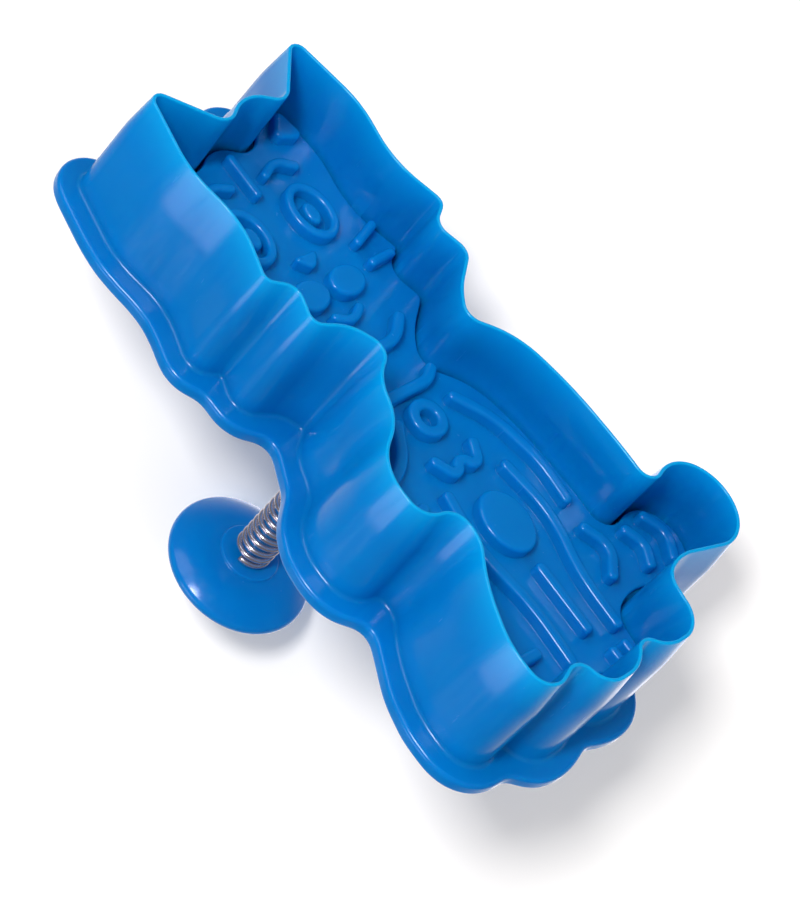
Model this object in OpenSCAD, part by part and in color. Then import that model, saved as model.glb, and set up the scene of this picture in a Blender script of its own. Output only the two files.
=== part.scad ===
// Plunger cutter: a cutting wall in the outline of a kitten, with a sprung stamp inside it.
// Pressing the knob moves the stamp down the cutter; the spring lifts it back.
// The origin is the middle of the outline in the cutting plane. +Z points to the knob, +Y to the ears.

/* [Figure] */
// Length of the figure at the cutting edge
figure_length = 109; // [95:1:125]

/* [Cutter] */
// Height from the cutting edge to the back of the plate
cutter_height = 25; // [22:0.5:30]
// Width of the land on the cutting edge
edge_land = 0.6; // [0.5:0.1:1.0]
// Thickness of the wall where it meets the plate
wall_root = 1.8; // [1.5:0.1:2.0]
// Height of the bevel that thins the wall towards the edge
bevel_height = 8; // [5:0.5:10]
// Share of the wall's growth in thickness that the bevel makes
bevel_share = 0.7; // [0.4:0.05:0.9]
// Lean of the inside of the wall over its height
inner_draft = 0.2; // [0.1:0.05:0.3]
// Thickness of the back plate
plate = 2.6; // [2:0.1:3.2]
// Width of the ledge that the plate leaves round the wall
ledge = 3.6; // [2.5:0.1:4.5]
// Step along the ledge's outer edge
ledge_step = 0.5; // [0.3:0.1:0.7]
// Radius that rounds the ledge's inner corners
ledge_fillet = 3; // [2:0.5:4]

/* [Guide] */
// Height of the guide tower above the plate
tower_height = 8; // [6:0.5:10]
// Outer diameter of the guide tower at its top
tower_d = 10.4; // [9.6:0.1:12]
// Depth of the cup in the tower that holds the spring's foot
cup_depth = 3.5; // [2.5:0.5:4]
// Clearance between the spring and the wall of its cup
cup_gap = 0.4; // [0.3:0.05:0.6]

/* [Stamp] */
// Depth from the cutting edge to the stamp's ground
stamp_depth = 12.4; // [11:0.1:14]
// Height of the raised lines over the ground
relief_height = 2.2; // [1.6:0.1:2.6]
// Width of the raised lines at their foot
line_w = 2; // [1.6:0.1:2.2]
// Thickness of the stamp's plate
stamp_plate = 2.2; // [1.8:0.1:2.8]
// Thickness of the stamp's rim wall and ribs
stamp_wall = 1.3; // [1:0.1:1.6]
// Gap between the stamp and the inside of the cutter's wall
stamp_gap = 0.5; // [0.4:0.05:0.7]

/* [Plunger] */
// Travel of the plunger
stroke = 12; // [10:0.5:13]
// Diameter of the stem
stem_d = 3.9; // [3.6:0.1:4]
// Radial play between the stem and its guide
stem_play = 0.05; // [0.03:0.01:0.08]
// Diameter of the stem's foot in the stamp's socket
foot_d = 5.4; // [5:0.1:6]
// Sideways place of the plunger's axis
axis_x = 6; // [3:0.5:7]

/* [Spring] */
// Outer diameter of the spring
spring_d = 6.8; // [6.5:0.1:7]
// Diameter of the spring's wire
wire_d = 0.95; // [0.8:0.05:1]
// Number of curls, the closed end curls counted
curls = 15; // [12:1:15]
// Travel that the spring has left when the plunger is pressed home
spring_reserve = 1.15; // [1:0.05:2]

/* [Knob] */
// Diameter of the knob
knob_d = 25.2; // [24:0.2:27]
// Height of the knob's body from its hub to the seat of its cap
knob_height = 7.2; // [7:0.2:8]
// Diameter of the hub that the spring bears on
hub_d = 10.3; // [10:0.1:11.6]
// Diameter of the cap in the top of the knob
cap_d = 15.6; // [15:0.2:16.6]

/* [Screw] */
// Diameter of the screw's thread
screw_d = 2; // [1.8:0.1:2.2]
// Diameter of the screw's head
screw_head_d = 4; // [3.8:0.1:4.4]
// Width of the slots of the screw's cross
slot_w = 0.5; // [0.4:0.1:0.6]
// Length of the screw below its head
screw_length = 10; // [9:0.5:11]
// Thickness of the washer
washer = 0.5; // [0.4:0.1:0.6]

/* [Hidden] */
$fn = 64;

blue = [0.0, 0.47, 0.82];
steel = [0.74, 0.73, 0.72];

// Solids that are joined run this far into each other
lap = 0.3;
// Cuts run this far past the faces that they open
past = 1;

// Levels, from the cutting plane up
plate_z = cutter_height - plate;
tower_top = cutter_height + tower_height;
cup_floor = tower_top - cup_depth;
spring_length = curls * wire_d + stroke + spring_reserve;
hub_z = cup_floor + spring_length;
relief_z = stamp_depth - relief_height;
stamp_back = stamp_depth + stamp_plate;

// Corners of the figure as it is seen from the cutting side: right, up and the share of each
// corner's shorter side that its rounding takes. They run clockwise from the crown.
figure_corners = [
    [-3, 49.6, 1], [3.6, 45.6, 0.7], [13.2, 55.4, 0.34], [16.4, 41.5, 0.7],
    [14.2, 30.5, 1], [17.6, 21.2, 0.42], [12.9, 18.4, 0.9], [15.2, 12.2, 0.5],
    [8.9, 7.6, 0.8], [5.4, 2.8, 0.95], [12.2, -3.6, 1], [14.8, -14, 1],
    [15.6, -26, 1], [15.4, -34.4, 0.95], [24.2, -31.6, 1], [29.8, -39.4, 1],
    [25.4, -48, 1], [11.6, -44.6, 1], [6.4, -46.4, 0.9], [5.2, -55.4, 1],
    [-2.6, -55.4, 1], [-6.4, -51.4, 1], [-10.2, -55.4, 1], [-17.8, -55.4, 1],
    [-19.4, -49.2, 1], [-28.2, -52.4, 1], [-29.2, -44, 1], [-25.4, -34.4, 1],
    [-20.2, -27.6, 1], [-21, -22, 1], [-27.4, -21, 1], [-27.6, -11.6, 1],
    [-19.4, -6.6, 1], [-17, 0.2, 0.9], [-11.4, 3.6, 0.95], [-15.2, 9.6, 0.8],
    [-21.2, 12.2, 0.5], [-18.9, 18.4, 0.9], [-23.6, 21.2, 0.42], [-20.2, 30.5, 1],
    [-22.4, 41.5, 0.7], [-19.2, 55.4, 0.34], [-9.6, 45.6, 0.7]
];

// Geometry of outlines
function right_of(v) = [v[1], -v[0]];
function turned(v, a) = [v[0] * cos(a) - v[1] * sin(a), v[0] * sin(a) + v[1] * cos(a)];
function heading(a, b) = (b - a) / norm(b - a);
function turn_of(e, f) = atan2(e[0] * f[1] - e[1] * f[0], e * f);
function flat(corner) = [corner[0], corner[1]];
function at(a, height) = [a[0], a[1], height];

// Points of one rounded corner b between a and c, moved sideways by d
turn_step = 24;
function rounded(a, b, c, share, d) =
    let (e = heading(a, b), turn = turn_of(e, heading(b, c)))
    let (reach = share * min(norm(b - a), norm(c - b)) / 2)
    let (side = sign(turn), r = reach / tan(abs(turn) / 2))
    let (centre = b - e * reach - right_of(e) * side * r)
    let (steps = max(1, ceil(abs(turn) / turn_step)))
    [for (i = [0 : steps]) centre + turned(right_of(e), turn * i / steps) * (side * r + d)];

// A closed outline through rounded corners, moved outwards by d
function outline(corners, d = 0) =
    let (n = len(corners))
    [for (i = [0 : n - 1], p = rounded(
        flat(corners[(i + n - 1) % n]), flat(corners[i]), flat(corners[(i + 1) % n]),
        corners[i][2], d)) p];

// The figure is mirrored here, because it is drawn from below and built from above
drawn = outline([for (c = figure_corners) [-c[0], c[1], c[2]]]);
drawn_x = [for (p = drawn) p[0]];
drawn_y = [for (p = drawn) p[1]];
drawn_middle = [max(drawn_x) + min(drawn_x), max(drawn_y) + min(drawn_y)] / 2;
figure_scale = figure_length / (max(drawn_y) - min(drawn_y));
function placed(right, up) = ([-right, up] - drawn_middle) * figure_scale;
function placed_corners(corners) =
    [for (c = corners) let (p = placed(c[0], c[1])) [p[0], p[1], c[2]]];
figure = placed_corners(figure_corners);

// Skins: rings of points joined by triangles
function band(a, b, n) = [for (i = [0 : n - 1], k = [0, 1]) let (j = (i + 1) % n)
    k == 0 ? [a + i, b + i, b + j] : [a + i, b + j, a + j]];
function joined(rings) = [for (ring = rings, p = ring) p];

// A closed hoop: the last ring joins the first
module hoop_skin(rings) {
    n = len(rings[0]);
    m = len(rings);
    polyhedron(joined(rings), [for (r = [0 : m - 1], f = band(r * n, (r + 1) % m * n, n)) f], 10);
}

// A revolved shape on the plunger's axis
module on_axis() {
    translate([axis_x, 0, 0]) children();
}

// The cutter: wall, plate with its ledge, and guide tower
function wall_ring(height, d) = [for (p = outline(figure, d)) at(p, height)];
bevel_d = edge_land + (wall_root - edge_land) * bevel_share;
tower_flare = 1.5;
flare_h = 2;
bore_r = stem_d / 2 + stem_play;
cup_r = spring_d / 2 + cup_gap;
lip = 0.5;
ledge_sides = 32;

module cutter_wall() {
    hoop_skin([
        wall_ring(0, edge_land),
        wall_ring(bevel_height, bevel_d),
        wall_ring(plate_z + lap, wall_root),
        wall_ring(plate_z + lap, -inner_draft),
        wall_ring(0, 0)
    ]);
}

// The outline is moved out too far and back again, which rounds the corners between its lobes
module ledge_outline(reach) {
    offset(r = -ledge_fillet, $fn = ledge_sides)
        offset(r = wall_root + reach + ledge_fillet, $fn = ledge_sides) polygon(outline(figure));
}

// The plate in two slices: the one in the middle of its thickness reaches a little further
module back_plate() {
    translate([0, 0, plate_z]) linear_extrude(plate) ledge_outline(ledge - ledge_step);
    translate([0, 0, plate_z + ledge_step]) linear_extrude(plate - 2 * ledge_step)
        ledge_outline(ledge);
}

module guide_tower() {
    rotate_extrude()
        polygon([
            [0, cutter_height - lap], [tower_d / 2 + tower_flare, cutter_height - lap],
            [tower_d / 2 + tower_flare, cutter_height], [tower_d / 2, cutter_height + flare_h],
            [tower_d / 2, tower_top - lip], [tower_d / 2 - lip, tower_top], [0, tower_top]
        ]);
}

module cutter_body() {
    color(blue) difference() {
        union() {
            cutter_wall();
            back_plate();
            on_axis() guide_tower();
        }
        on_axis() translate([0, 0, plate_z - past])
            cylinder(r = bore_r, h = tower_height + plate + 2 * past);
        on_axis() translate([0, 0, cup_floor]) cylinder(r = cup_r, h = cup_depth + past);
    }
}

// Relief: raised lines, rings and ovals on the stamp's ground, drawn as the figure is
// Centre line through rounded corners, as [point, heading] pairs
function bend(a, b, c) =
    let (e = heading(a, b), turn = turn_of(e, heading(b, c)))
    let (reach = min(norm(b - a), norm(c - b)) / 2)
    let (side = sign(turn), r = reach / tan(abs(turn) / 2))
    let (centre = b - e * reach - right_of(e) * side * r)
    let (steps = max(1, ceil(abs(turn) / turn_step)))
    [for (i = [0 : steps]) let (part = turn * i / steps)
        [centre + turned(right_of(e), part) * side * r, turned(e, part)]];
function line_path(corners) =
    let (n = len(corners))
    concat(
        [[corners[0], heading(corners[0], corners[1])]],
        [for (i = [1 : 1 : n - 2], s = bend(corners[i - 1], corners[i], corners[i + 1])) s],
        [[corners[n - 1], heading(corners[n - 2], corners[n - 1])]]);

// One side of a line of width 2 * r, with half of each round end
end_turns = [0, 45];
function half_line(path, r, side) =
    let (first = path[0], last = path[len(path) - 1])
    concat(
        [for (a = end_turns) first[0] + r * (side * sin(a) * right_of(first[1]) - cos(a) * first[1])],
        [for (s = path) s[0] + r * side * right_of(s[1])],
        [for (a = end_turns) last[0] + r * (side * cos(a) * right_of(last[1]) + sin(a) * last[1])]);
function reversed(points) = [for (i = [len(points) - 1 : -1 : 0]) points[i]];

module raised_line(corners, w = line_w) {
    path = line_path([for (c = corners) placed(c[0], c[1])]);
    polygon(concat(half_line(path, w / 2, 1), reversed(half_line(path, w / 2, -1))));
}

oval_sides = 18;
module raised_oval(middle, radii, wider = 0) {
    reach = radii * figure_scale + [wider, wider];
    polygon([for (i = [0 : oval_sides - 1]) let (a = 360 * i / oval_sides)
        placed(middle[0], middle[1]) + [cos(a) * reach[0], sin(a) * reach[1]]]);
}

module raised_ring(middle, radii, w = line_w) {
    difference() {
        raised_oval(middle, radii, w / 2);
        raised_oval(middle, radii, -w / 2);
    }
}

module raised_patch(corners, share = 0.6) {
    polygon(outline(placed_corners([for (c = corners) [c[0], c[1], share]])));
}

// Lines that come in pairs on both sides of the face's middle
face_middle = -3;
module face_pair(corners, w = line_w) {
    for (side = [-1, 1])
        raised_line([for (c = corners) [face_middle + side * c[0], c[1]]], w);
}

module face_relief() {
    thin = line_w * 0.8;
    for (side = [-1, 1]) {
        raised_ring([face_middle + side * 7.4, 32], [3.5, 4.6], thin);
        raised_oval([face_middle + side * 7, 31.6], [1.3, 2]);
        raised_oval([face_middle + side * 4.2, 19.4], [3.6, 2.8]);
    }
    raised_patch([[face_middle - 3, 26], [face_middle + 3, 26], [face_middle, 22.8]]);
    face_pair([[11.6, 24.4], [16.4, 26]], thin);
    face_pair([[11.4, 20.4], [16, 20.6]], thin);
    face_pair([[4, 40.4], [7.4, 42], [10.6, 40]], thin);
    for (side = [-1, 1]) raised_patch([for (c = [[10.4, 45.4], [14.9, 50.4], [16.3, 43.4]])
        [face_middle + side * c[0], c[1]]]);
    raised_line([[face_middle - 2.8, 14.7], [face_middle, 13.1], [face_middle + 2.8, 14.7]], thin);
    raised_line([[face_middle, 45], [face_middle, 38]], thin);
    raised_line([[-11.6, 10.6], [-8, 7.6], [2, 7.6], [5.6, 10.6]]);
}

module body_relief() {
    raised_line([[-10.6, 1.4], [-8, -0.4], [2, -0.4], [4.2, 1]]);
    raised_ring([face_middle, -5.8], [2.5, 2.5]);
    raised_line([[-9.2, -4.6], [-13.2, -10.4], [-21.6, -13.4], [-23.8, -17], [-19.4, -18.6], [-15.6, -17.8]]);
    raised_line([[-14, -2.4], [-16.2, -7.4]]);
    raised_line([[4.4, -4.6], [8.8, -10.4], [11.2, -20], [10.6, -27]]);
    raised_line([[-7.6, -12.4], [-5.4, -16.4], [-3, -12.8], [-0.6, -16.4], [1.6, -12.4]]);
    raised_oval([face_middle, -25.6], [4.6, 5.6]);
    raised_line([[-9.9, -18], [-11.6, -27.4], [-9.6, -38], [-10.2, -48.6]]);
    raised_line([[4.4, -18], [6, -28], [2.8, -38], [2.6, -47.4]]);
    raised_line([[-3.3, -34.4], [-3.3, -45.6]]);
    raised_line([[-16.4, -29.8], [-21.8, -36], [-23.2, -44.6], [-15.2, -44.8]]);
    raised_line([[9.8, -32.4], [12.2, -37], [8.4, -40.8]]);
    for (toe = [-15.2, -12.2, -1.6, 1.4]) raised_line([[toe, -52], [toe, -50.6]], line_w * 0.8);
    raised_line([[17, -36], [18.6, -39.4], [16.8, -42.4]]);
    raised_line([[22.2, -35.6], [24.4, -39.4], [22, -43.4]]);
}

// The stamp: plate, rim wall and ribs open to the back, a socket for the stem's foot, and the relief
crest = 0.5;
crest_inset = 0.3;
socket_wall = 2;
socket_room = 2;
socket_top = plate_z - socket_room;
foot_z = stamp_depth + stamp_plate / 2;
seat_gap = 0.02;
rib_h = 4.5;
rib_top = stamp_back + rib_h;
cross_ribs = [-38, -20, 24, 38];

module stamp_outline() {
    polygon(outline(figure, -inner_draft - stamp_gap));
}

// The lines stand on the ground with their full width, and their crests are narrower
module relief() {
    translate([0, 0, relief_z + crest]) linear_extrude(relief_height - crest + lap)
        relief_lines();
    translate([0, 0, relief_z]) linear_extrude(relief_height)
        offset(delta = -crest_inset) relief_lines();
}

module relief_lines() {
    face_relief();
    body_relief();
}

module rib_lines() {
    translate([axis_x - stamp_wall / 2, -figure_length]) square([stamp_wall, 2 * figure_length]);
    for (rib = concat([0], cross_ribs * figure_scale))
        translate([-figure_length, rib - stamp_wall / 2]) square([2 * figure_length, stamp_wall]);
}

module stamp_plate() {
    color(blue) difference() {
        union() {
            translate([0, 0, stamp_depth]) linear_extrude(stamp_plate) stamp_outline();
            translate([0, 0, stamp_back - lap]) linear_extrude(plate_z - stamp_back + lap)
                difference() {
                    stamp_outline();
                    offset(delta = -stamp_wall) stamp_outline();
                }
            translate([0, 0, stamp_back - lap]) linear_extrude(rib_top - stamp_back + lap)
                intersection() {
                    rib_lines();
                    offset(delta = -stamp_wall / 2) stamp_outline();
                }
            on_axis() translate([0, 0, stamp_back - lap])
                cylinder(r = foot_d / 2 + socket_wall, h = socket_top - stamp_back + lap);
            relief();
        }
        on_axis() translate([0, 0, foot_z])
            cylinder(r = foot_d / 2 + seat_gap, h = socket_top - foot_z + past);
    }
}

// The stem: a foot in the stamp's socket, the guided shank, and a pilot hole for the screw
stem_reach = 3.4;
stem_top = hub_z + stem_reach;
foot_chamfer = 0.6;
foot_top = socket_top - foot_chamfer;
nose = 0.3;
thread_gap = 0.03;

module plunger_stem() {
    color(blue) on_axis() difference() {
        rotate_extrude() polygon([
            [0, foot_z], [foot_d / 2 - nose, foot_z], [foot_d / 2, foot_z + nose],
            [foot_d / 2, foot_top], [stem_d / 2, socket_top],
            [stem_d / 2, stem_top], [0, stem_top]
        ]);
        translate([0, 0, stem_top - screw_length])
            cylinder(r = screw_d / 2 + thread_gap, h = screw_length + past);
    }
}

// The spring: one tube wound round the stem, its end curls laid flat on the cup and the hub
curl_rings = 8;
wire_sides = 6;
coil_r = (spring_d - wire_d) / 2;
end_gap = 0.03;
end_opening = 0.55;
end_pitch = wire_d + end_opening;
low_z = cup_floor + wire_d / 2 + end_gap;
high_z = hub_z - wire_d / 2 - end_gap;
free_pitch = (high_z - low_z - 2 * end_pitch) / (curls - 2);

// Height of the wire's middle after a number of curls from the cup
function climb(t) =
    let (s = min(t, curls - t))
    let (rise = s < 1 ? s * end_pitch : end_pitch + (s - 1) * free_pitch)
    t <= curls / 2 ? low_z + rise : high_z - rise;
function coil_point(t) = [coil_r * cos(360 * t), coil_r * sin(360 * t), climb(t)];
function coil_points() = [for (i = [0 : curls * curl_rings]) coil_point(i / curl_rings)];

// Both ends run straight for one diameter of the wire
function spring_path() =
    let (p = coil_points(), n = len(p) - 1)
    concat([p[0] + [0, -wire_d, 0]], p, [p[n] + [0, wire_d, 0]]);
function wire_ring(before, here, after) =
    let (ahead = heading(before, after), out = [here[0], here[1], 0] / norm([here[0], here[1]]))
    let (side = cross(ahead, out) / norm(cross(ahead, out)), up = cross(side, ahead))
    [for (i = [0 : wire_sides - 1]) let (a = 360 * (i + 0.5) / wire_sides)
        here + (up * cos(a) + side * sin(a)) * wire_d / 2];

// Least distance between two curls, less the wire
function least_gap(path) = min([for (i = [0 : len(path) - 1], j = [i + curl_rings / 2 : len(path) - 1])
    if (j < i + 2 * curl_rings) norm(path[i] - path[j])]) - wire_d;
echo(spring_gap = least_gap(spring_path()));

module return_spring() {
    path = spring_path();
    last = len(path) - 1;
    rings = [for (i = [0 : last]) wire_ring(path[max(i - 1, 0)], path[i], path[min(i + 1, last)])];
    n = wire_sides;
    sides = [for (r = [0 : last - 1], f = band(r * n, (r + 1) * n, n)) f];
    start = [for (i = [1 : n - 2]) [0, i, i + 1]];
    finish = [for (i = [1 : n - 2]) [last * n, last * n + i + 1, last * n + i]];
    color(steel) on_axis() polyhedron(joined(rings), concat(sides, start, finish), 10);
}

// The knob: a saucer cored from its top, with a hub below and a post for the screw inside
knob_r = knob_d / 2;
hub_r = hub_d / 2;
hub_step = 0.35;
skin = 2;
post_r = 3.4;
post_cover = 1.2;
seat_z = stem_top + post_cover;
cap_r = cap_d / 2;
cap_land = 1.4;
core_r = cap_r - cap_land;
cap_seat = hub_z + knob_height;
cap_seat_h = 1.1;
cap_chamfer = 0.6;
rim_r = 1.3;
rim_middle = [knob_r - rim_r, 4];
rim_turns = [-60, 75];
belly_start = [hub_r + nose, hub_step];
belly_end = rim_middle + rim_r * [cos(rim_turns[0]), sin(rim_turns[0])];
belly_steps = 5;
belly_power = 1.5;
screw_gap = 0.2;

function arc(centre, r, from, to, steps) =
    [for (i = [0 : steps]) centre + r * [cos(from + (to - from) * i / steps),
        sin(from + (to - from) * i / steps)]];

// The underside sweeps from the hub up to the rim, gently at first
function belly_point(part) = [
    belly_start[0] + (belly_end[0] - belly_start[0]) * part,
    belly_start[1] + (belly_end[1] - belly_start[1]) * pow(part, belly_power)];

module knob() {
    color(blue) on_axis() difference() {
        translate([0, 0, hub_z]) rotate_extrude() polygon(concat(
            [[0, 0], [hub_r - nose, 0], [hub_r, hub_step / 2]],
            [for (i = [0 : belly_steps - 1]) belly_point(i / belly_steps)],
            arc(rim_middle, rim_r, rim_turns[0], rim_turns[1], 6),
            [[cap_r + cap_chamfer, knob_height + cap_seat_h], [0, knob_height + cap_seat_h]]
        ));
        difference() {
            translate([0, 0, hub_z + hub_step + skin]) cylinder(r = core_r, h = knob_height);
            translate([0, 0, hub_z]) cylinder(r = post_r, h = seat_z - hub_z);
        }
        translate([0, 0, cap_seat]) cylinder(r = cap_r, h = cap_seat_h + past);
        translate([0, 0, hub_z - past]) cylinder(r = stem_d / 2 + seat_gap, h = stem_top - hub_z + past);
        translate([0, 0, hub_z]) cylinder(r = screw_d / 2 + screw_gap, h = seat_z - hub_z + past);
    }
}

module screw_washer() {
    washer_edge = 0.4;
    washer_gap = 0.15;
    color(steel) on_axis() translate([0, 0, seat_z]) difference() {
        cylinder(r = post_r - washer_edge, h = washer);
        translate([0, 0, -past]) cylinder(r = screw_d / 2 + washer_gap, h = washer + 2 * past);
    }
}

module stem_screw() {
    head_z = seat_z + washer;
    head_h = screw_head_d * 0.35;
    slot_d = screw_head_d * 0.5;
    color(steel) on_axis() difference() {
        union() {
            translate([0, 0, head_z - screw_length]) cylinder(d = screw_d, h = screw_length + lap);
            rotate_extrude() polygon(concat(
                [[0, head_z], [screw_head_d / 2, head_z]],
                arc([screw_head_d / 2 - head_h, head_z + head_h * 0.2], head_h * 0.8, 0, 90, 3),
                [[0, head_z + head_h]]
            ));
        }
        for (turn = [0, 90]) rotate(turn)
            translate([-slot_d / 2, -slot_w / 2, head_z + head_h * 0.4]) cube([slot_d, slot_w, head_h]);
    }
}

module knob_cap() {
    gap = 0.1;
    rise = 1.6;
    skirt = 1.1;
    skirt_h = 2;
    side_top = cap_seat + cap_seat_h;
    color(blue) on_axis() difference() {
        rotate_extrude() polygon([
            [0, cap_seat - skirt_h], [core_r - gap, cap_seat - skirt_h], [core_r - gap, cap_seat],
            [cap_r - gap, cap_seat], [cap_r - gap, side_top], [cap_r * 0.85, side_top + rise * 0.4],
            [cap_r * 0.55, side_top + rise * 0.85], [0, side_top + rise]
        ]);
        translate([0, 0, cap_seat - skirt_h - past])
            cylinder(r = core_r - gap - skirt, h = skirt_h + past);
    }
}

cutter_body();
stamp_plate();
plunger_stem();
return_spring();
stem_screw();
screw_washer();
knob();
knob_cap();
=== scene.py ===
# %% [markdown]
# # A plunger cutter, dressed for its photograph
# The cutter is a blue moulding with a sprung stamp inside. The CAD model gives every size and place.
# This script dresses it: finer meshes, gloss plastic, bright wire, and soft studio light. Each piece
# that it makes stands for one CAD node and rides on the same body, so that it moves with the plunger.

# %% Load the frame
import math

import bmesh
import bpy
import numpy as np
from mathutils import Matrix, Vector


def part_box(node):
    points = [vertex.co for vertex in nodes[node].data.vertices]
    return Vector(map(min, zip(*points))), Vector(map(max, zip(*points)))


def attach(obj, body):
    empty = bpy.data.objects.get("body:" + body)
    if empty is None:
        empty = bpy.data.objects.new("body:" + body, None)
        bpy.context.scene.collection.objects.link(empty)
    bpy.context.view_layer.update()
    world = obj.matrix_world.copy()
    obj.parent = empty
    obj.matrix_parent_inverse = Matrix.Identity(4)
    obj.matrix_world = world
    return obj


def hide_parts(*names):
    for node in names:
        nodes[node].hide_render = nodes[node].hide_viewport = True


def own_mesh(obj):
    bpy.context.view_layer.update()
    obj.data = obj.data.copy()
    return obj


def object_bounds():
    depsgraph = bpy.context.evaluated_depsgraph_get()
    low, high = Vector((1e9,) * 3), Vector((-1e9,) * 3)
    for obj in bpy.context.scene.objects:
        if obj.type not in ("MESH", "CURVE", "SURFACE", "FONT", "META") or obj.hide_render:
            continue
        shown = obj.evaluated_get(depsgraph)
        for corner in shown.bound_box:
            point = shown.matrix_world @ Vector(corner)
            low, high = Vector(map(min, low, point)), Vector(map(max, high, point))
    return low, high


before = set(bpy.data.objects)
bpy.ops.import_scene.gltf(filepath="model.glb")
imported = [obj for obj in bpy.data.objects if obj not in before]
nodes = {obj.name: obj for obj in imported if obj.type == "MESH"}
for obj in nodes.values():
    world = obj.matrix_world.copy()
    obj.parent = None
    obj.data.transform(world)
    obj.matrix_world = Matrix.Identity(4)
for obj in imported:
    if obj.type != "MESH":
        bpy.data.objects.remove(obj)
cad_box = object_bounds()
MM = 0.001
print("CAD box", [round(c / MM, 1) for corner in cad_box for c in corner])

# %% [markdown]
# ## Levels and the plunger's axis
# Everything is measured from the CAD nodes, so the pieces below fit them without any nudging.
# The few sizes that a box can't give, such as the depth of the spring's cup, are named here.

# %% Levels from the frame
body_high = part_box("cutter_body")[1]
stamp_low, stamp_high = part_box("stamp_plate")
spring_low, spring_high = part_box("return_spring")
knob_low, knob_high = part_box("knob")
cap_low, cap_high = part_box("knob_cap")

axis = (knob_low + knob_high) / 2
plate_z = stamp_high.z
plate_thickness = 2.6 * MM
back_z = plate_z + plate_thickness
tower_z = body_high.z
cup_depth = 3.5 * MM
relief_z = stamp_low.z
relief_height = 2.2 * MM
ground_z = relief_z + relief_height
hub_z = knob_low.z
knob_radius = (knob_high.x - knob_low.x) / 2
print("stamp ground at %.1f mm, hub at %.1f mm" % (ground_z / MM, hub_z / MM))

# %% [markdown]
# ## Outlines from the CAD solids
# The rim of a flat face is an edge that only one flat face uses. Such edges, joined end to end, give
# the solid's outline at that height. This saves drawing the outline a second time, and it can't
# drift away from the solid.

# %% Join edges into outlines
def signed_area(loop):
    x, y = loop[:, 0], loop[:, 1]
    return float(np.sum(x * np.roll(y, -1) - np.roll(x, -1) * y) / 2)


def chain(edges):
    """Joins edges into closed loops of points, anticlockwise."""
    links = {}
    for edge in edges:
        a, b = edge.verts
        links.setdefault(a, []).append(b)
        links.setdefault(b, []).append(a)
    loops = []
    while links:
        start = next(iter(links))
        loop = [start]
        here, last = links[start][0], start
        while here is not start:
            loop.append(here)
            ways = [v for v in links[here] if v is not last]
            here, last = ways[0], here
        for vert in loop:
            links.pop(vert)
        points = np.array([(v.co.x, v.co.y) for v in loop])
        loops.append(points if signed_area(points) > 0 else points[::-1])
    return loops


# %% Find the rims of flat faces
def rim_loops(node, height, near=0.005 * MM):
    """Closed outlines of a node's flat faces at one height, largest first."""
    bm = bmesh.new()
    bm.from_mesh(nodes[node].data)
    bmesh.ops.remove_doubles(bm, verts=bm.verts, dist=1e-7)
    rim = []
    for edge in bm.edges:
        level = all(abs(v.co.z - height) < near for v in edge.verts)
        if level and sum(abs(f.normal.z) > 0.999 for f in edge.link_faces) == 1:
            rim.append(edge)
    loops = chain(rim)
    bm.free()
    return sorted(loops, key=signed_area, reverse=True)


print("outlines at the cutting edge:", len(rim_loops("cutter_body", 0)))

# %% [markdown]
# ## Arcs instead of chords
# The CAD outline is made of short straight chords, which would show as flats in the gloss. A spline
# through its points would round it by eye. Chords of one arc are equally long, so each chord's half
# angle can be worked out from the turns at its ends, and the arcs come back as they were drawn.

# %% Read arcs from chords
def arcs_of(loop, sharp=50.0, alike=3e-4):
    """Direction and half angle of each chord. Arcs meet at every point but sharp corners."""
    ahead = np.roll(loop, -1, 0) - loop
    length = np.linalg.norm(ahead, axis=1)
    heading = np.arctan2(ahead[:, 1], ahead[:, 0])
    turn = (heading - np.roll(heading, 1) + np.pi) % (2 * np.pi) - np.pi
    next_turn = np.roll(turn, -1)
    like_last = np.abs(length / np.roll(length, 1) - 1) < alike
    like_next = np.roll(like_last, -1)
    known = like_last | like_next
    guess = np.where(like_next, next_turn / 2, np.where(like_last, turn / 2, (turn + next_turn) / 4))
    trust = np.where(known, 3.0, 0.1)
    each = np.arange(len(loop))
    rules = np.zeros((len(loop), len(loop)))
    rules[each, each] = 1
    rules[each, each - 1] = 1
    smooth = np.abs(turn) < np.radians(sharp)
    wanted = np.concatenate([turn[smooth], trust * guess])
    half = np.linalg.lstsq(np.concatenate([rules[smooth], np.diag(trust)]), wanted, rcond=None)[0]
    return heading, half


# %% Resample along the arcs
def smooth_loop(loop, spacing, steps=None, arcs=None):
    """Resamples a loop along arcs. Steps and arcs may come from a loop that runs beside it."""
    heading, half = arcs or arcs_of(loop)
    ahead = np.roll(loop, -1, 0) - loop
    length = ahead[:, 0] * np.cos(heading) + ahead[:, 1] * np.sin(heading)
    if steps is None:
        steps = np.maximum(1, np.round(length / spacing)).astype(int)
    points = []
    for i, count in enumerate(steps):
        t = (np.arange(count) / count)[:, None]
        reach = length[i] / np.cos(half[i] / 2) ** 2
        start = np.array([np.cos(heading[i] - half[i]), np.sin(heading[i] - half[i])]) * reach
        end = np.array([np.cos(heading[i] + half[i]), np.sin(heading[i] + half[i])]) * reach
        points.append(
            loop[i] * (2 * t**3 - 3 * t**2 + 1)
            + loop[(i + 1) % len(loop)] * (3 * t**2 - 2 * t**3)
            + start * (t**3 - 2 * t**2 + t)
            + end * (t**3 - t**2)
        )
    return np.concatenate(points)


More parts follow.
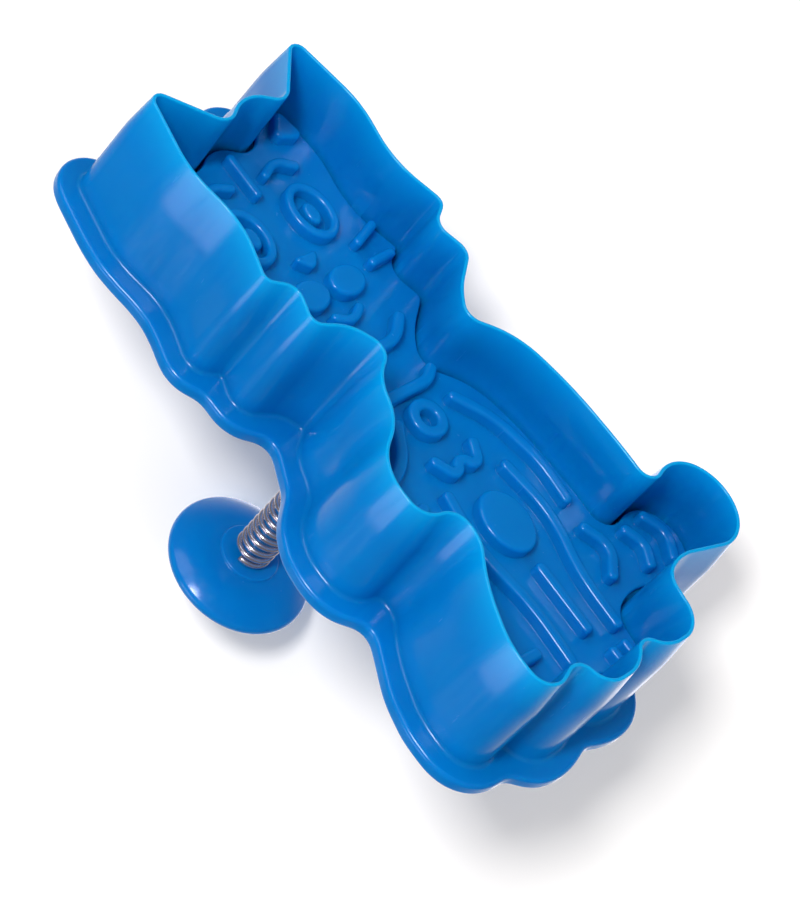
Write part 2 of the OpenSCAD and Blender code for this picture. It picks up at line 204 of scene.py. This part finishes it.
# %% Even out, match and move outlines
def even_loop(loop, spacing, softness):
    """Resamples a loop evenly and rounds it over a distance, for an outline of many tiny facets."""
    ends = np.concatenate([loop, loop[:1]])
    run = np.concatenate([[0], np.cumsum(np.linalg.norm(np.diff(ends, axis=0), axis=1))])
    count = int(run[-1] / spacing)
    places = run[-1] * np.arange(count) / count
    points = np.stack([np.interp(places, run, ends[:, k]) for k in (0, 1)], 1)
    for _ in range(int(2 * (softness / spacing) ** 2)):
        points = points / 2 + (np.roll(points, 1, 0) + np.roll(points, -1, 0)) / 4
    return points


def matched(loop, other):
    """The other loop, with its points in step with this loop's."""
    shifts = [np.sum((np.roll(other, k, 0) - loop) ** 2) for k in range(len(other))]
    return np.roll(other, int(np.argmin(shifts)), 0)


def moved(loop, distance):
    """The loop moved outwards by a distance, with mitred corners."""
    before = loop - np.roll(loop, 1, 0)
    after = np.roll(loop, -1, 0) - loop
    before /= np.linalg.norm(before, axis=1)[:, None]
    after /= np.linalg.norm(after, axis=1)[:, None]
    tangent = before + after
    tangent /= np.linalg.norm(tangent, axis=1)[:, None]
    normal = np.stack([tangent[:, 1], -tangent[:, 0]], 1)
    mitre = 1 / np.clip(np.sum(tangent * after, axis=1), 0.5, 1)
    return loop + normal * (distance * mitre)[:, None]


def circle(radius, steps=96):
    """A circle round the plunger's axis."""
    angle = 2 * np.pi * np.arange(steps) / steps
    return np.stack([axis.x + radius * np.cos(angle), axis.y + radius * np.sin(angle)], 1)


# %% [markdown]
# ## Skins from rings
# A moulding's wall is a ring of edges, extruded again and again while it follows the wall's
# section. A Bevel modifier could round the edges instead, but it breaks up where a corner is tighter
# than the bevel. Flat faces between rings are filled afterwards, which keeps the mesh closed.

# %% Extrude rings
def first_ring(bm, loop, height):
    """Vertices and edges of a closed ring."""
    verts = [bm.verts.new((p[0], p[1], height)) for p in loop]
    for a, b in zip(verts, verts[1:] + verts[:1]):
        bm.edges.new((a, b))
    return verts


def ring_edges(bm, ring):
    return [bm.edges.get((a, b)) for a, b in zip(ring, ring[1:] + ring[:1])]


def next_ring(bm, ring, loop, height):
    """Extrudes a ring and sets the new one on a loop at a height."""
    made = bmesh.ops.extrude_edge_only(bm, edges=ring_edges(bm, ring))["geom"]
    new = {g for g in made if isinstance(g, bmesh.types.BMVert)}
    partners = []
    for vert, place in zip(ring, loop):
        partner = next(e.other_vert(vert) for e in vert.link_edges if e.other_vert(vert) in new)
        partner.co = (place[0], place[1], height)
        partners.append(partner)
    return partners


def strip(bm, outline_at, section):
    """Rings along a section of (outward move, height); gives the first and the last ring."""
    ring = first_ring(bm, outline_at(section[0][0]), section[0][1])
    start = ring
    for out, height in section[1:]:
        ring = next_ring(bm, ring, outline_at(out), height)
    return start, ring


# %% Fill, round and finish
def fill_between(bm, *rings):
    """Fills the flat face that these rings bound."""
    edges = [e for ring in rings for e in ring_edges(bm, ring)]
    bmesh.ops.triangle_fill(bm, edges=edges, use_beauty=True)


def quarter(centre, radius, start, end, steps=5):
    """Points of an arc in a section, angles in degrees."""
    angles = [math.radians(start + (end - start) * i / steps) for i in range(steps + 1)]
    return [(centre[0] + radius * math.cos(a), centre[1] + radius * math.sin(a)) for a in angles]


def make_piece(name, bm, body, stands_for=None):
    """Turns a bmesh into a smooth-shaded piece that rides on a body."""
    bmesh.ops.recalc_face_normals(bm, faces=bm.faces)
    mesh = bpy.data.meshes.new(name)
    bm.to_mesh(mesh)
    bm.free()
    mesh.shade_smooth()
    piece = bpy.data.objects.new(name, mesh)
    bpy.context.scene.collection.objects.link(piece)
    normals = piece.modifiers.new("Face-weighted normals", "WEIGHTED_NORMAL")
    normals.weight = 50
    normals.keep_sharp = True
    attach(piece, body)
    if stands_for:
        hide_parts(stands_for)
    print(name, len(mesh.polygons), "faces")
    return piece


# %% [markdown]
# ## The cutter
# One moulding: a thin wall with a rounded land and a bevel at its cutting edge, a ledge with a
# rounded rim, and a small tower that guides the stem and holds the spring's foot. The land is the
# narrow flat that cuts the dough, and its rounding catches the bright line in the photograph. The
# wall's outside and inside have outlines with the same points, so rings between them stay in step.

# %% Wall outlines
land = 0.6 * MM
land_round = 0.26 * MM
bevel_out = 1.44 * MM
bevel_z = 8 * MM
wall_root = 1.8 * MM
inner_draft = 0.2 * MM
wall_fillet = 0.8 * MM
column_width = 0.5 * MM

outer_loop, inner_loop = rim_loops("cutter_body", 0)[:2]
outer_loop = matched(inner_loop, outer_loop)
wall_arcs = arcs_of(inner_loop)
columns = np.linalg.norm(np.roll(outer_loop, -1, 0) - outer_loop, axis=1) / column_width
columns = np.maximum(1, np.round(columns)).astype(int)
print(len(inner_loop), "corner points,", columns.sum(), "columns in the wall")


def wall_loop(out):
    """The wall's outline, moved outwards from its inside at the cutting edge."""
    chords = inner_loop + (outer_loop - inner_loop) * (out / land)
    return smooth_loop(chords, 0, columns, wall_arcs)


# %% Wall section
wall_section = [(-inner_draft, plate_z), (-inner_draft * 0.4, plate_z * 0.4)]
wall_section += quarter((land_round, land_round), land_round, 180, 270)
wall_section += quarter((land - land_round, land_round), land_round, 270, 360)
wall_section += [
    (bevel_out - 0.16 * MM, bevel_z - 1.6 * MM),
    (bevel_out - 0.03 * MM, bevel_z - 0.2 * MM),
    (bevel_out + 0.05 * MM, bevel_z + 1.4 * MM),
]
wall_section += quarter((wall_root + wall_fillet, plate_z - wall_fillet), wall_fillet, 180, 90)

# %% Ledge section
rim_front = 0.7 * MM
rim_back = 0.8 * MM
ledge_step = 0.5 * MM
ledge_spacing = 0.7 * MM
ledge_softness = 1.1 * MM
ledge_loop = rim_loops("cutter_body", plate_z + ledge_step)[0]
ledge_loop = even_loop(ledge_loop, ledge_spacing, ledge_softness)
rim_section = quarter((-rim_front, plate_z + rim_front), rim_front, 270, 360)
rim_section += quarter((-rim_back, back_z - rim_back), rim_back, 0, 90)
print(len(ledge_loop), "columns in the ledge")

# %% Tower section
tower_radius = 5.2 * MM
tower_fillet = 2.2 * MM
tower_round = 0.5 * MM
cup_radius = 3.8 * MM
cup_round = 0.25 * MM
bore_radius = 2.0 * MM
bore_bevel = 0.15 * MM
tower_section = quarter((tower_radius + tower_fillet, back_z + tower_fillet), tower_fillet, 270, 180)
tower_section += quarter((tower_radius - tower_round, tower_z - tower_round), tower_round, 0, 90)
tower_section += quarter((cup_radius + cup_round, tower_z - cup_round), cup_round, 90, 180)
tower_section += [
    (cup_radius, tower_z - cup_depth),
    (bore_radius + bore_bevel, tower_z - cup_depth),
    (bore_radius, tower_z - cup_depth - bore_bevel),
    (bore_radius, plate_z),
]

# %% Build the cutter
bm = bmesh.new()
ceiling_ring, wall_top_ring = strip(bm, wall_loop, wall_section)
rim_low_ring, rim_high_ring = strip(bm, lambda out: moved(ledge_loop, out), rim_section)
tower_foot_ring, bore_ring = strip(bm, circle, tower_section)
fill_between(bm, ceiling_ring, bore_ring)
fill_between(bm, wall_top_ring, rim_low_ring)
fill_between(bm, rim_high_ring, tower_foot_ring)
cutter = make_piece("cutter_shell", bm, "cutter", "cutter_body")

# %% [markdown]
# ## The stamp
# The stamp's face is a flat ground with raised lines, which press the drawing into the dough. Each
# line has a small fillet at its foot, upright sides and a well rounded crest. Ground, lines and
# crests are one skin, as on the moulding: the ground is filled round the lines' feet. The hollow
# back with its ribs hardly shows, so it is cut from the CAD solid and closed where it is cut.

# %% Stamp ground
ground_loops = rim_loops("stamp_plate", ground_z)
ground_spacing = 0.6 * MM
stamp_loop = smooth_loop(ground_loops[0], ground_spacing)
ground_round = 0.35 * MM
front_depth = 1.3 * MM

bm = bmesh.new()
ground_section = quarter((-ground_round, ground_z + ground_round), ground_round, 270, 360, 4)
ground_section += [(0, ground_z + front_depth)]
ground_ring, front_ring = strip(bm, lambda out: moved(stamp_loop, out), ground_section)
fill_between(bm, front_ring)
print(len(stamp_loop), "points round the ground")

# %% Sections and nesting of the raised lines
line_spacing = 0.28 * MM
foot_fillet = 0.1 * MM
crest_round = 0.66 * MM
line_section = quarter((foot_fillet, ground_z - foot_fillet), foot_fillet, 90, 180, 4)
line_section += quarter((-crest_round, relief_z + crest_round), crest_round, 0, -90, 6)


def is_inside(point, loop):
    """Whether a point lies inside a loop, counted by crossings."""
    x, y = loop[:, 0], loop[:, 1]
    x2, y2 = np.roll(x, -1), np.roll(y, -1)
    spans = (y > point[1]) != (y2 > point[1])
    reach = x + (point[1] - y) / np.where(y2 == y, 1, y2 - y) * (x2 - x)
    return bool(np.sum(spans & (point[0] < reach)) % 2)


# %% Raised lines
line_loops = [smooth_loop(loop, line_spacing) for loop in ground_loops[1:]]
feet, crests = [], []
for loop in line_loops:
    is_hole = sum(is_inside(loop[0], other) for other in line_loops if other is not loop) % 2 == 1
    side = -1 if is_hole else 1
    foot_ring, crest_ring = strip(bm, lambda out: moved(loop, side * out), line_section)
    feet.append(foot_ring)
    crests.append(crest_ring)
fill_between(bm, ground_ring, *feet)
fill_between(bm, *crests)
print(len(line_loops), "outlines of raised lines")

# %% Hollow back
lap = 0.2 * MM
back = bmesh.new()
back.from_mesh(nodes["stamp_plate"].data)
bmesh.ops.remove_doubles(back, verts=back.verts, dist=1e-7)
keep_z = ground_z + front_depth - lap
whole = back.verts[:] + back.edges[:] + back.faces[:]
cut = bmesh.ops.bisect_plane(
    back, geom=whole, plane_co=(0, 0, keep_z), plane_no=(0, 0, 1), clear_inner=True
)
open_edges = [g for g in cut["geom_cut"] if isinstance(g, bmesh.types.BMEdge)]
bmesh.ops.holes_fill(back, edges=open_edges, sides=0)
back_mesh = bpy.data.meshes.new("stamp_back")
back.to_mesh(back_mesh)
back.free()
bm.from_mesh(back_mesh)
bpy.data.meshes.remove(back_mesh)
stamp = make_piece("stamp_face", bm, "plunger", "stamp_plate")

# %% [markdown]
# ## The knob and its cap
# Both are round about the plunger's axis, so one section spun round it makes each. A cylinder and a
# few bevels would be quicker, but the underside bulges like a saucer, steeper towards its rim, and
# that is where the long soft highlight in the photograph lies. The hub stands a little proud of the
# saucer round it, which is the ring that shows.

# %% Spin a section
def spun(name, section, body, stands_for, steps=128):
    """A closed solid of revolution from (radius, height) points that start and end on the axis."""
    bm = bmesh.new()
    verts = [bm.verts.new((axis.x + radius, axis.y, height)) for radius, height in section]
    edges = [bm.edges.new(pair) for pair in zip(verts, verts[1:])]
    bmesh.ops.spin(
        bm, geom=verts + edges, cent=axis, axis=(0, 0, 1), angle=2 * math.pi, steps=steps, use_merge=True
    )
    bmesh.ops.remove_doubles(bm, verts=bm.verts, dist=1e-7)
    return make_piece(name, bm, body, stands_for)


# %% Knob
hub_radius = 5.15 * MM
seat_z = cap_low.z + 2 * MM
cap_radius = 7.8 * MM
core_radius = 6.4 * MM
lip_z = knob_high.z
rim_radius = 1.3 * MM
rim_centre = (knob_radius - rim_radius, hub_z + 4 * MM)
rim_start = -50
rim_end = 75
cavity_z = hub_z + 2.4 * MM
hub_round = 0.2 * MM
groove = 0.25 * MM
lip_round = 0.3 * MM
belly_power = 2.15

knob_section = [(0, hub_z), (hub_radius * 0.6, hub_z)]
knob_section += quarter((hub_radius - hub_round, hub_z + hub_round), hub_round, 270, 350, 4)
knob_section += quarter((hub_radius + groove, hub_z + groove), hub_round, 170, 100, 3)
belly_start = (hub_radius + 0.35 * MM, hub_z + 0.42 * MM)
rim = quarter(rim_centre, rim_radius, rim_start, rim_end, 16)
belly_end = rim[0]
for part in (0.1, 0.2, 0.3, 0.4, 0.5, 0.6, 0.7, 0.8, 0.9):
    knob_section.append((
        belly_start[0] + (belly_end[0] - belly_start[0]) * part,
        belly_start[1] + (belly_end[1] - belly_start[1]) * part**belly_power,
    ))
knob_section += rim
knob_section += quarter((cap_radius + 0.55 * MM, lip_z - lip_round), lip_round, 60, 180, 4)
knob_section += [
    (cap_radius, seat_z),
    (core_radius, seat_z),
    (core_radius, cavity_z),
    (0, cavity_z),
]
knob = spun("knob_body", knob_section, "plunger", "knob")

# %% Cap
fit = 0.1 * MM
cap_edge = cap_radius - fit
plug_radius = core_radius - fit
cap_round = 0.35 * MM
dome_z = cap_high.z
dome_low = lip_z + 0.15 * MM
cap_section = [(0, cap_low.z), (plug_radius, cap_low.z), (plug_radius, seat_z)]
cap_section += [(cap_edge, seat_z), (cap_edge, dome_low - 0.2 * MM)]
cap_section += quarter((cap_edge - cap_round, dome_low - 0.2 * MM), cap_round, 0, 60, 4)
for part in (0.9, 0.75, 0.6, 0.45, 0.3, 0.15, 0):
    cap_section.append((cap_edge * part, dome_low + (dome_z - dome_low) * math.sqrt(1 - part**2)))
cap = spun("knob_top", cap_section, "plunger", "knob_cap")

# %% [markdown]
# ## The spring
# The spring is one unbroken wire.

# %% Wind the spring
wire_radius = 0.475 * MM
coil_radius = 2.925 * MM
curls = 15
end_pitch = 1.5 * MM
curl_steps = 40
wire_low = spring_low.z + wire_radius
wire_high = spring_high.z - wire_radius
free_pitch = (wire_high - wire_low - 2 * end_pitch) / (curls - 2)

bm = bmesh.new()
start = Matrix.Translation((axis.x + coil_radius, axis.y, wire_low))
start = start @ Matrix.Rotation(math.pi / 2, 4, "X")
section = bmesh.ops.create_circle(bm, segments=18, radius=wire_radius, matrix=start)["verts"]
section_edges = list({e for v in section for e in v.link_edges})
bm.faces.new(section)
geometry = section + section_edges
for turns, pitch in ((1, end_pitch), (curls - 2, free_pitch), (1, end_pitch)):
    steps = turns * curl_steps
    climb = Vector((0, 0, pitch * turns / steps))
    wound = bmesh.ops.spin(
        bm, geom=geometry, cent=axis, axis=(0, 0, 1), dvec=climb, angle=2 * math.pi * turns, steps=steps
    )
    geometry = wound["geom_last"]
end_edges = [g for g in geometry if isinstance(g, bmesh.types.BMEdge)]
bmesh.ops.contextual_create(bm, geom=end_edges)
spring = make_piece("spring_wire", bm, "cutter", "return_spring")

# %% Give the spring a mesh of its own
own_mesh(spring)

# %% [markdown]
# ## Gloss plastic
# Moulded plastic is nearly even in colour. What gives it away is a faint mottle, a skin that isn't
# quite flat, fine scuffs where it is handled, and light that travels a little way into it. A flat
# base colour with a bright highlight would look like paint. Where the wall thins towards its edge,
# more light comes through it; that glow is painted into the colour, which goes over to a paler blue
# towards the cutting edge and fades with the height.

# %% Materials, noise and ranges
def new_material(name):
    """A material with an empty tree apart from its shader; gives the tree and the shader."""
    material = bpy.data.materials.new(name)
    material.use_nodes = True
    tree = material.node_tree
    return material, tree, tree.nodes["Principled BSDF"]


def noise(tree, coordinates, scale, detail=3.0, stretch=(1, 1, 1)):
    """A noise texture on object coordinates."""
    mapping = tree.nodes.new("ShaderNodeMapping")
    mapping.inputs["Scale"].default_value = stretch
    texture = tree.nodes.new("ShaderNodeTexNoise")
    texture.inputs["Scale"].default_value = scale
    texture.inputs["Detail"].default_value = detail
    tree.links.new(coordinates, mapping.inputs["Vector"])
    tree.links.new(mapping.outputs["Vector"], texture.inputs["Vector"])
    return texture.outputs["Fac"]


def spread(tree, value, low, high, out_low, out_high):
    """Maps part of a value's range on to another range."""
    node = tree.nodes.new("ShaderNodeMapRange")
    for name, number in (
        ("From Min", low), ("From Max", high), ("To Min", out_low), ("To Max", out_high)
    ):
        node.inputs[name].default_value = number
    tree.links.new(value, node.inputs["Value"])
    return node.outputs["Result"]


# %% Bump and sums
def bumped(tree, height, strength, distance, under=None):
    """A bump node, stacked on another one if given."""
    node = tree.nodes.new("ShaderNodeBump")
    node.inputs["Strength"].default_value = strength
    node.inputs["Distance"].default_value = distance
    tree.links.new(height, node.inputs["Height"])
    if under is not None:
        tree.links.new(under, node.inputs["Normal"])
    return node.outputs["Normal"]


def brightest(tree, first, second):
    node = tree.nodes.new("ShaderNodeMath")
    node.operation = "MAXIMUM"
    tree.links.new(first, node.inputs[0])
    tree.links.new(second, node.inputs[1])
    return node.outputs["Value"]


def times(tree, first, second):
    node = tree.nodes.new("ShaderNodeMath")
    node.operation = "MULTIPLY"
    tree.links.new(first, node.inputs[0])
    tree.links.new(second, node.inputs[1])
    return node.outputs["Value"]


def object_coordinates(tree):
    return tree.nodes.new("ShaderNodeTexCoord").outputs["Object"]


# %% Plastic
# How far up from the cutting edge the painted glow reaches.
painted_glow_reach = 9 * MM
mottle_scale = 60
scuff_scale = 900
skin_scale = 160


def gloss_plastic(name, deep, pale, painted_glow_colour, roughness):
    """Glossy moulded plastic between two close colours, with a paler third painted in as glow low down,
    near the cutting edge where the wall thins.
    """
    material, tree, shader = new_material(name)
    place = object_coordinates(tree)
    mottle = spread(tree, noise(tree, place, mottle_scale), 0.3, 0.7, 0, 1)
    colours = tree.nodes.new("ShaderNodeMix")
    colours.data_type = "RGBA"
    colours.inputs["A"].default_value = (*deep, 1)
    colours.inputs["B"].default_value = (*pale, 1)
    tree.links.new(mottle, colours.inputs["Factor"])
    # Painted glow: towards the cutting edge the colour goes over to a paler blue, painted in for the
    # light that shines through the thin wall.
    glow = tree.nodes.new("ShaderNodeMix")
    glow.data_type = "RGBA"
    glow.inputs["B"].default_value = (*painted_glow_colour, 1)
    parts = tree.nodes.new("ShaderNodeSeparateXYZ")
    tree.links.new(place, parts.inputs["Vector"])
    painted_glow_mask = spread(tree, parts.outputs["Z"], 0, painted_glow_reach, 1, 0)
    tree.links.new(times(tree, painted_glow_mask, painted_glow_mask), glow.inputs["Factor"])
    tree.links.new(colours.outputs["Result"], glow.inputs["A"])
    tree.links.new(glow.outputs["Result"], shader.inputs["Base Color"])
    scuffs = noise(tree, place, scuff_scale, 4, (1, 1, 0.15))
    worn = spread(tree, scuffs, 0.45, 0.75, roughness, roughness + 0.1)
    tree.links.new(worn, shader.inputs["Roughness"])
    skin = bumped(tree, noise(tree, place, skin_scale, 1), 0.12, 0.2 * MM)
    skin = bumped(tree, scuffs, 0.04, 0.05 * MM, skin)
    tree.links.new(skin, shader.inputs["Normal"])
    shader.inputs["IOR"].default_value = 1.5
    shader.inputs["Specular Tint"].default_value = (0.7, 0.72, 1, 1)
    shader.inputs["Subsurface Weight"].default_value = 0.6
    shader.inputs["Subsurface Radius"].default_value = (0.05, 0.8, 1.0)
    shader.inputs["Subsurface Scale"].default_value = 2.2 * MM
    return material


deep_blue = (0.0, 0.17, 0.5)
pale_blue = (0.0, 0.195, 0.56)
# The paler blue of the painted glow near the cutting edge.
painted_glow_blue = (0.0, 0.32, 0.7)
blue = gloss_plastic("Blue gloss plastic", deep_blue, pale_blue, painted_glow_blue, 0.18)
print(blue.name, "has", len(blue.node_tree.nodes), "nodes")

# %% [markdown]
# ## Steel
# Spring wire is drawn through a die, which leaves it bright. The screw and washer are zinc plated,
# so they are duller and slightly uneven. A metal shows little but its surroundings, so the base
# colour only tints them, and the roughness decides how sharp the lamps look on it. One function
# makes both finishes.

# %% Metals
cloud_scale = 500
grain_scale = 2500


def bright_metal(name, dark, light, roughness, grain, grain_depth, metallic=1):
    """A metal with uneven brightness and a fine grain."""
    material, tree, shader = new_material(name)
    place = object_coordinates(tree)
    colours = tree.nodes.new("ShaderNodeMix")
    colours.data_type = "RGBA"
    colours.inputs["A"].default_value = (*dark, 1)
    colours.inputs["B"].default_value = (*light, 1)
    cloud = spread(tree, noise(tree, place, cloud_scale), 0.35, 0.65, 0, 1)
    tree.links.new(cloud, colours.inputs["Factor"])
    tree.links.new(colours.outputs["Result"], shader.inputs["Base Color"])
    lines = noise(tree, place, grain_scale, 3, grain)
    uneven = spread(tree, lines, 0.3, 0.7, roughness, roughness + 0.04)
    tree.links.new(uneven, shader.inputs["Roughness"])
    tree.links.new(bumped(tree, lines, 0.1, grain_depth), shader.inputs["Normal"])
    shader.inputs["Metallic"].default_value = metallic
    return material


wire_steel = bright_metal(
    "Bright spring wire", (0.6, 0.55, 0.6), (0.69, 0.64, 0.69), 0.2, (1, 1, 6), 0.002 * MM, 0.85
)
zinc = bright_metal(
    "Zinc-plated steel", (0.52, 0.52, 0.54), (0.68, 0.68, 0.7), 0.3, (1, 1, 1), 0.03 * MM
)

# %% Give each piece its material
for piece, material in (
    (cutter, blue), (stamp, blue), (knob, blue), (cap, blue), (spring, wire_steel),
    (nodes["plunger_stem"], blue), (nodes["stem_screw"], zinc), (nodes["screw_washer"], zinc),
):
    piece.data.materials.clear()
    piece.data.materials.append(material)
    print(piece.name, "is", material.name.lower())

# %% [markdown]
# ## Camera
# The photograph looks into the cutting side from below, through a long lens. A camera could be
# turned by eye until it looks right. This one's place was worked out instead from the cutting edge,
# the ledge and the knob's ellipse, which all have to fall where they are seen.

# %% Place the camera
photo_size = (800, 919)
focal_pixels = 3150
aim = Vector((24.12, -11.27, 0.0)) * MM
forward = Vector((-0.70589, 0.16167, 0.68962)).normalized()
image_down = Vector((0.33011, -0.78632, 0.52224))
camera_distance = 450 * MM

camera_data = bpy.data.cameras.new("Photo camera")
camera = bpy.data.objects.new("Photo camera", camera_data)
bpy.context.scene.collection.objects.link(camera)
camera_data.sensor_width = 36
camera_data.lens = focal_pixels / max(photo_size) * camera_data.sensor_width
camera_data.clip_start = 0.01
camera_data.clip_end = 20
image_right = image_down.cross(forward).normalized()
image_up = forward.cross(image_right) * -1
view_axes = Matrix((image_right, image_up, -forward)).transposed()
camera.matrix_world = Matrix.Translation(aim - forward * camera_distance) @ view_axes.to_4x4()
bpy.context.scene.camera = camera
print("camera at", [round(c / MM) for c in camera.location], "mm, lens", round(camera_data.lens, 1))

# %% [markdown]
# ## Stage and light
# The camera looks up at the cutting side, so the white paper behind the object is a sheet that
# faces the camera, and the floor under the cutter shows only to a camera above it. Real paper would
# stand in the way of the lamps, so both sheets are clear to every ray but the camera's.

# %% Paper
def paper(name, tint, glow):
    """Matt paper that shows from its front. It is clear to all rays but the camera's."""
    material, tree, shader = new_material(name)
    shader.inputs["Base Color"].default_value = (*tint, 1)
    shader.inputs["Roughness"].default_value = 0.9
    shader.inputs["Specular IOR Level"].default_value = 0.1
    shader.inputs["Emission Color"].default_value = (1, 1, 1, 1)
    shader.inputs["Emission Strength"].default_value = glow
    backfacing = tree.nodes.new("ShaderNodeNewGeometry").outputs["Backfacing"]
    unseen = tree.nodes.new("ShaderNodeMath")
    unseen.operation = "SUBTRACT"
    unseen.inputs[0].default_value = 1
    either = tree.nodes.new("ShaderNodeMath")
    either.operation = "MAXIMUM"
    rays = tree.nodes.new("ShaderNodeLightPath")
    tree.links.new(rays.outputs["Is Camera Ray"], unseen.inputs[1])
    tree.links.new(unseen.outputs["Value"], either.inputs[0])
    tree.links.new(backfacing, either.inputs[1])
    hidden = either.outputs["Value"]
    clear = tree.nodes.new("ShaderNodeBsdfTransparent")
    mix = tree.nodes.new("ShaderNodeMixShader")
    tree.links.new(hidden, mix.inputs["Fac"])
    tree.links.new(shader.outputs["BSDF"], mix.inputs[1])
    tree.links.new(clear.outputs["BSDF"], mix.inputs[2])
    tree.links.new(mix.outputs["Shader"], tree.nodes["Material Output"].inputs["Surface"])
    return material


# %% Stage
def stage_sheet(name, centre, facing, size, material):
    """A square sheet round a centre that faces a direction."""
    bm = bmesh.new()
    bmesh.ops.create_grid(bm, x_segments=1, y_segments=1, size=size)
    turn = facing.to_track_quat("Z", "Y").to_matrix().to_4x4()
    bmesh.ops.transform(bm, matrix=Matrix.Translation(centre) @ turn, verts=bm.verts)
    mesh = bpy.data.meshes.new(name)
    bm.to_mesh(mesh)
    bm.free()
    sheet = bpy.data.objects.new(name, mesh)
    bpy.context.scene.collection.objects.link(sheet)
    mesh.materials.append(material)


middle = (cad_box[0] + cad_box[1]) / 2
backdrop_gap = 6 * MM
sheet_reach = 4.0
knob_top = Vector((axis.x, axis.y, cad_box[1].z))
behind = middle + forward * ((knob_top - middle).dot(forward) + backdrop_gap)
white_paper = paper("White paper", (0.94, 0.915, 0.89), 0)
stage_sheet("backdrop", behind, -forward, sheet_reach, white_paper)
floor_middle = Vector((middle.x, middle.y, cad_box[0].z))
pale_floor = paper("Pale floor", (0.86, 0.86, 0.86), 0.4)
stage_sheet("floor", floor_middle, Vector((0, 0, 1)), sheet_reach, pale_floor)
print("backdrop %.0f mm behind the object's middle" % ((behind - middle).length / MM))

# %% [markdown]
# ## Lamps
# One lamp near the camera casts the soft shadow that falls below the object. The softboxes are
# placed where a wall, the ledge's rim or the knob mirrors them to the camera, and make the soft
# lavender patches and the bright lines. The fills only lighten what the others leave dark, so
# glossy surfaces don't see them.

# %% Lights
def area_light(name, right, up, back, size, watts, colour=(1, 1, 1)):
    """A square lamp placed in metres along the photo camera's own directions, aimed at the object."""
    data = bpy.data.lights.new(name, "AREA")
    data.size = size
    data.energy = watts
    data.color = colour
    lamp = bpy.data.objects.new(name, data)
    bpy.context.scene.collection.objects.link(lamp)
    lamp.location = middle + image_right * right + image_up * up - forward * back
    lamp.rotation_mode = "QUATERNION"
    lamp.rotation_quaternion = (middle - lamp.location).to_track_quat("-Z", "Y")
    return lamp


area_light("Shadow key", -0.15, 0.31, 1.2, 0.24, 9)
area_light("Wall softbox", -0.83, -0.4, -0.16, 0.32, 0.11, (1, 0.96, 1))
area_light("Rim softbox", -0.7, -0.3, 0.3, 0.36, 1.0, (1, 0.94, 1))
area_light("Top softbox", -0.25, 0.74, 0.7, 0.5, 1.7, (1, 0.96, 1))
area_light("Back softbox", 0.1, 0, -1.0, 0.8, 2, (1, 0.93, 1))
for name, right, up, back, size, watts in (
    ("Left fill", -0.8, -0.2, 0.5, 0.5, 0.5),
    ("Low right fill", 0.6, -0.5, 0.7, 0.5, 1.9),
    ("Back fill", 0.1, 0.3, -1.0, 0.8, 3),
):
    area_light(name, right, up, back, size, watts).visible_glossy = False
print(len(bpy.data.lights), "lamps")

# %% [markdown]
# ## World
# The world is white paper to the camera and through clear things. Glossy surfaces see that paper
# behind the object too, and a dim room on the camera's side, because a white room all round would
# wash the blue out. To matt light it is an even grey.

# %% World
world = bpy.data.worlds.new("Studio")
bpy.context.scene.world = world
world.use_nodes = True
tree = world.node_tree
sky = tree.nodes["Background"]
sky.inputs["Color"].default_value = (1, 1, 1, 1)
rays = tree.nodes.new("ShaderNodeLightPath")
direction = tree.nodes.new("ShaderNodeTexCoord").outputs["Generated"]
away = tree.nodes.new("ShaderNodeVectorMath")
away.operation = "DOT_PRODUCT"
away.inputs[1].default_value = forward
tree.links.new(direction, away.inputs[0])
ambient = 0.5
room = 0.06
room_until = 0.2
paper_from = 0.8

paper_or_room = spread(tree, away.outputs["Value"], room_until, paper_from, room, 1)
glossy = times(tree, rays.outputs["Is Glossy Ray"], paper_or_room)
seen = brightest(tree, rays.outputs["Is Camera Ray"], rays.outputs["Is Transmission Ray"])
matt = spread(tree, rays.outputs["Is Diffuse Ray"], 0, 1, 0, ambient)
level = brightest(tree, brightest(tree, seen, glossy), matt)
tree.links.new(level, sky.inputs["Strength"])
bpy.context.scene.view_settings.view_transform = "Standard"
print("ambient", ambient, "room", room)
